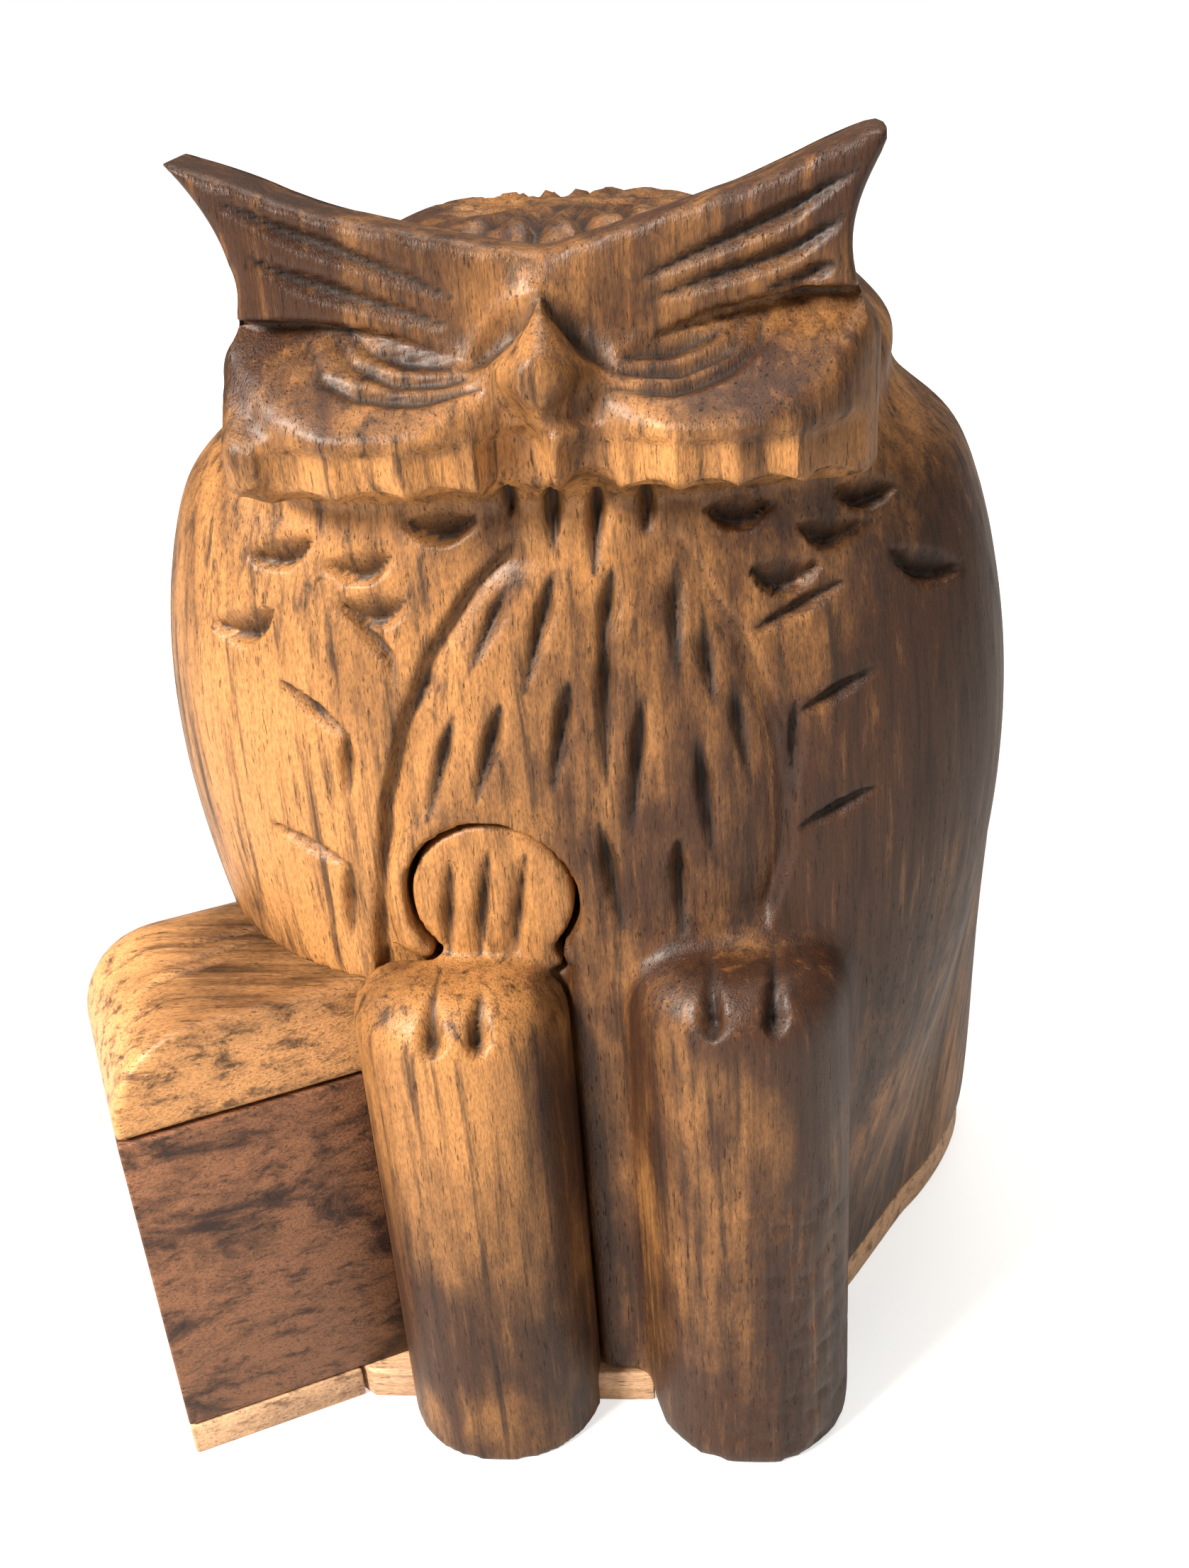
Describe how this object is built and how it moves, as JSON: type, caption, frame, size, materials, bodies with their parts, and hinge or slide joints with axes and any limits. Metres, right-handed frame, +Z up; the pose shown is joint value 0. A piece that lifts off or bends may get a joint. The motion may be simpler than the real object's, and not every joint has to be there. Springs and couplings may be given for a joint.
{
  "type": "carved wooden owl box",
  "caption": "Carved wooden owl with a pull-out jigsaw foot and a hip block that swings out on a dowel and holds a hidden drawer.",
  "frame": {"origin": "on the ground, at the middle of the flat underside of the bottom board", "axes": "+Z up along the owl's height, the owl's face looks along -Y, +X is to the viewer's right"},
  "size_m": [0.1198, 0.0876, 0.1578],
  "materials": {
    "carved_wood": "oiled, satin",
    "foot_wood": "oiled, satin",
    "hip_wood": "oiled, satin",
    "board_wood": "sanded, matt",
    "drawer_wood": "sawn, matt",
    "dowel_wood": "turned, matt"
  },
  "bodies": {
    "trunk": {"owl_body": "carved_wood", "base_board": "board_wood", "pivot_dowel": "dowel_wood"},
    "foot_key": {"leg_key": "foot_wood"},
    "hip": {"hip_block": "hip_wood", "hip_back": "hip_wood", "hip_floor": "board_wood"},
    "drawer": {"drawer_core": "drawer_wood", "drawer_face": "drawer_wood", "drawer_rear": "drawer_wood"}
  },
  "joints": [
    {"name": "hip_swing", "type": "hinge", "parent": "trunk", "child": "hip", "pos_m": [-0.0249, -0.0202, 0], "axis": [0, 0, 1], "range_deg": [-26.4, 0]},
    {"name": "key_slide", "type": "slide", "parent": "trunk", "child": "foot_key", "axis": [0, -1, 0], "range_m": [0, 0.036]},
    {"name": "drawer_slide", "type": "slide", "parent": "hip", "child": "drawer", "axis": [-0.8957, -0.4446, 0], "range_m": [0, 0.027]}
  ]
}
